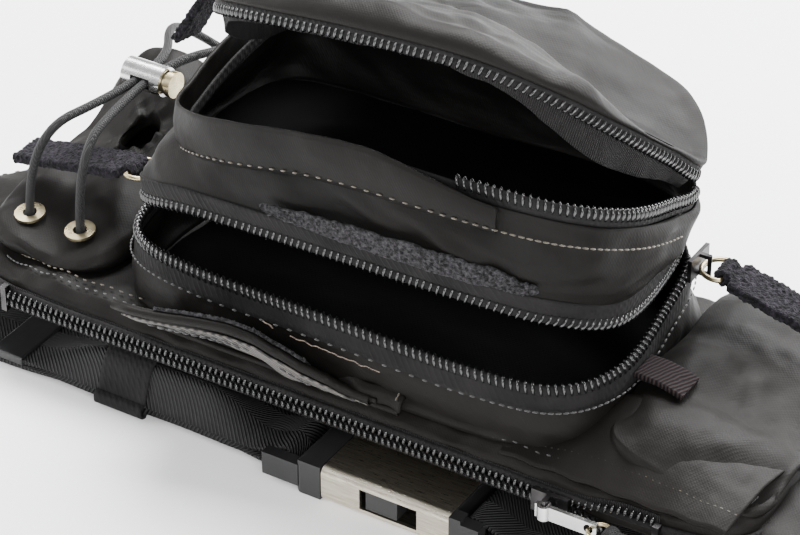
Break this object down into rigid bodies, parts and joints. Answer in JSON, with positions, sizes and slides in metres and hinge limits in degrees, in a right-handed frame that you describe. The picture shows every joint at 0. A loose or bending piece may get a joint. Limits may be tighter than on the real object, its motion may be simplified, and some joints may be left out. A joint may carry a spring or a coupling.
{
  "type": "waist bag",
  "caption": "Black nylon waist bag lying on its back: stacked zipped compartments hinged open, drawcord side pocket, rear zip pocket and a webbing belt with a side-release buckle.",
  "frame": {"origin": "on the wearer's-side face of the lumbar pad, under the middle of the compartments, with the bag lying on its back", "axes": "+X along the belt, +Y towards the compartments' hinges, +Z away from the wearer"},
  "size_m": [0.4009, 0.1347, 0.1562],
  "materials": {
    "shell_nylon": "woven nylon with a coated back, matt",
    "pad_mesh": "padded knitted mesh",
    "zip_coil": "shiny moulded coil on woven tape",
    "binding": "ribbed binding tape",
    "webbing": "heavy herringbone webbing",
    "touch_strip": "hook and loop strip",
    "twill_lining": "grey twill",
    "slider_metal": "dark plated",
    "bright_metal": "polished",
    "brass": "polished",
    "champagne_metal": "brushed, champagne tint",
    "buckle_plastic": "matt moulded",
    "pull_fabric": "brushed woven, purple-black",
    "cord": "braided",
    "spring_steel": "plain"
  },
  "bodies": {
    "bag": {"lumbar_pad": "pad_mesh", "rear_pocket": "shell_nylon", "base_top_panel": "shell_nylon", "rear_zip_top": "zip_coil", "rear_zip_bottom": "zip_coil", "rear_stop_left": "shell_nylon", "rear_stop_right": "shell_nylon", "left_wing": "shell_nylon", "right_wing": "shell_nylon", "drawcord_pocket": "shell_nylon", "drawcord_hood": "shell_nylon", "right_side_pocket": "shell_nylon", "webbing_tab": "pull_fabric", "lower_compartment": "shell_nylon", "lower_zip_lower_half": "zip_coil", "lower_hinge_strip": "binding", "flap_binding": "binding", "eyelet_right": "brass", "eyelet_left": "brass", "drawcord": "cord", "left_webbing": "webbing", "right_webbing": "webbing", "belt_tip": "buckle_plastic", "buckle_shell": "champagne_metal", "buckle_core": "buckle_plastic", "buckle_male": "buckle_plastic"},
    "upper_box": {"upper_compartment": "shell_nylon", "lower_zip_upper_half": "zip_coil", "upper_hinge_sleeve": "binding", "upper_zip_lower_half": "zip_coil", "upper_hinge_strip": "binding", "upper_rim_facing": "shell_nylon", "upper_velcro": "touch_strip"},
    "lid": {"upper_lid": "shell_nylon", "upper_zip_lid_half": "zip_coil", "lid_hinge_sleeve": "binding"},
    "flap": {"front_flap": "twill_lining", "flap_velcro": "touch_strip"},
    "left_zip_slider": {"left_slider": "slider_metal"},
    "left_pull_ring": {"left_ring": "brass"},
    "left_pull_tab": {"left_tab": "pull_fabric"},
    "right_zip_slider": {"right_slider": "slider_metal"},
    "right_pull_ring": {"right_ring": "brass"},
    "right_pull_tab": {"right_tab": "pull_fabric"},
    "upper_zip_slider": {"upper_left_slider": "slider_metal"},
    "upper_pull_ring": {"upper_left_ring": "brass"},
    "upper_pull_tab": {"upper_left_tab": "pull_fabric"},
    "rear_zip_slider": {"rear_slider": "slider_metal"},
    "rear_puller": {"rear_puller_plate": "bright_metal"},
    "rear_ring": {"rear_pull_ring": "brass"},
    "rear_cord": {"rear_cord_pull": "cord"},
    "cord_lock": {"lock_barrel": "bright_metal", "lock_spring": "spring_steel"},
    "lock_button": {"lock_plunger": "brass"},
    "near_prong": {"prong_near": "buckle_plastic"},
    "far_prong": {"prong_far": "buckle_plastic"},
    "keeper": {"belt_keeper": "binding"}
  },
  "joints": [
    {"name": "upper_box_hinge", "type": "hinge", "parent": "bag", "child": "upper_box", "pos_m": [0, 0.0461, 0.06245], "axis": [-1, 0, 0], "range_deg": [-9, 82]},
    {"name": "lid_hinge", "type": "hinge", "parent": "upper_box", "child": "lid", "pos_m": [0, 0.0525, 0.10285], "axis": [-1, 0, 0], "range_deg": [-15, 76]},
    {"name": "flap_hinge", "type": "hinge", "parent": "bag", "child": "flap", "pos_m": [0, -0.0525, 0.0347], "axis": [1, 0, 0], "range_deg": [-34, 43]},
    {"name": "left_zip_travel", "type": "slide", "parent": "bag", "child": "left_zip_slider", "axis": [0, 1, 0], "range_m": [0, 0.035]},
    {"name": "left_ring_swing", "type": "hinge", "parent": "left_zip_slider", "child": "left_pull_ring", "pos_m": [-0.0869, -0.018, 0.06245], "axis": [0, 0, 1], "range_deg": [-15, 3]},
    {"name": "left_tab_swing", "type": "hinge", "parent": "left_pull_ring", "child": "left_pull_tab", "pos_m": [-0.0929, -0.018, 0.06245], "axis": [0, 1, 0], "range_deg": [-1, 12]},
    {"name": "right_zip_travel", "type": "slide", "parent": "bag", "child": "right_zip_slider", "axis": [0, 1, 0], "range_m": [-0.045, 0]},
    {"name": "right_ring_swing", "type": "hinge", "parent": "right_zip_slider", "child": "right_pull_ring", "pos_m": [0.0869, 0.026, 0.06245], "axis": [0, 0, 1], "range_deg": [-24, 24]},
    {"name": "right_tab_swing", "type": "hinge", "parent": "right_pull_ring", "child": "right_pull_tab", "pos_m": [0.0929, 0.026, 0.06245], "axis": [0, 1, 0], "range_deg": [-60, 12]},
    {"name": "upper_zip_travel", "type": "slide", "parent": "upper_box", "child": "upper_zip_slider", "axis": [0, 0.9877, -0.1564], "range_m": [-0.045, 0]},
    {"name": "upper_ring_swing", "type": "hinge", "parent": "upper_zip_slider", "child": "upper_pull_ring", "pos_m": [-0.0869, 0.03265, 0.10599], "axis": [0, 0.1564, 0.9877], "range_deg": [-24, 24]},
    {"name": "upper_tab_swing", "type": "hinge", "parent": "upper_pull_ring", "child": "upper_pull_tab", "pos_m": [-0.0929, 0.03265, 0.10599], "axis": [0, 0.9877, -0.1564], "range_deg": [-5, 60]},
    {"name": "rear_zip_travel", "type": "slide", "parent": "bag", "child": "rear_zip_slider", "axis": [1, 0, 0], "range_m": [-0.19, 0.02]},
    {"name": "rear_puller_swing", "type": "hinge", "parent": "rear_zip_slider", "child": "rear_puller", "pos_m": [0.08, -0.0611, 0.025], "axis": [0, 0, 1], "range_deg": [-150, 0]},
    {"name": "rear_ring_swing", "type": "hinge", "parent": "rear_puller", "child": "rear_ring", "pos_m": [0.0948, -0.0611, 0.025], "axis": [0, 1, 0], "range_deg": [-35, 35]},
    {"name": "rear_cord_swing", "type": "hinge", "parent": "rear_ring", "child": "rear_cord", "pos_m": [0.102, -0.0611, 0.025], "axis": [0, 1, 0], "range_deg": [-30, 60]},
    {"name": "cord_lock_travel", "type": "slide", "parent": "bag", "child": "cord_lock", "axis": [0, 1, 0], "range_m": [-0.004, 0.004]},
    {"name": "lock_button_press", "type": "slide", "parent": "cord_lock", "child": "lock_button", "axis": [-1, 0, 0], "range_m": [0, 0.0013], "stiffness_N_per_m": 600, "springref_m": -0.002},
    {"name": "near_prong_squeeze", "type": "hinge", "parent": "bag", "child": "near_prong", "pos_m": [0.005, -0.0555, 0.0062], "axis": [0, 0, 1], "range_deg": [0, 8], "stiffness_Nm_per_rad": 0.4, "springref_deg": -2.86},
    {"name": "far_prong_squeeze", "type": "hinge", "parent": "bag", "child": "far_prong", "pos_m": [0.005, -0.0225, 0.0062], "axis": [0, 0, -1], "range_deg": [0, 8], "stiffness_Nm_per_rad": 0.4, "springref_deg": -2.86},
    {"name": "keeper_travel", "type": "slide", "parent": "bag", "child": "keeper", "axis": [1, 0, 0], "range_m": [-0.028, 0.011]}
  ]
}
